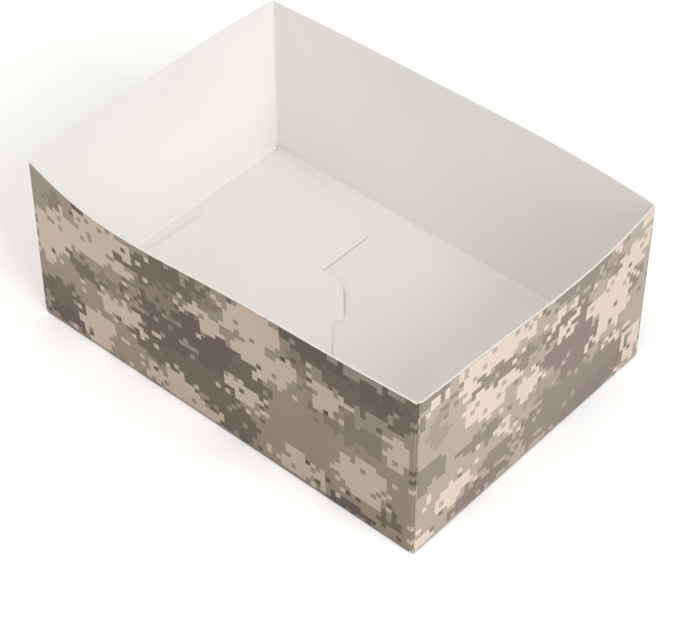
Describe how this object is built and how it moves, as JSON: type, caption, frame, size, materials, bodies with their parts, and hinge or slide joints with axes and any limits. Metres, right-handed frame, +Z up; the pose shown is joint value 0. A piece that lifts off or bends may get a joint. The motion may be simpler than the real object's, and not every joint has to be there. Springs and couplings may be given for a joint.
{
  "type": "printed cardboard tray",
  "caption": "Open rectangular tray of folded, printed board with outward bowed walls and a self-locking folded bottom.",
  "frame": {"origin": "middle of the underside, on the plane that the tray stands on", "axes": "+Z up out of the open top, +X along the length towards the short wall with the glued seam, +Y across towards the back long wall"},
  "size_m": [0.261, 0.1947, 0.103],
  "materials": {
    "printed_board": "satin print in tan, sage, olive and brown pixel blocks outside, plain white coated board inside, raw white cut edges"
  },
  "bodies": {
    "root": {"tray": "printed_board"}
  },
  "joints": []
}
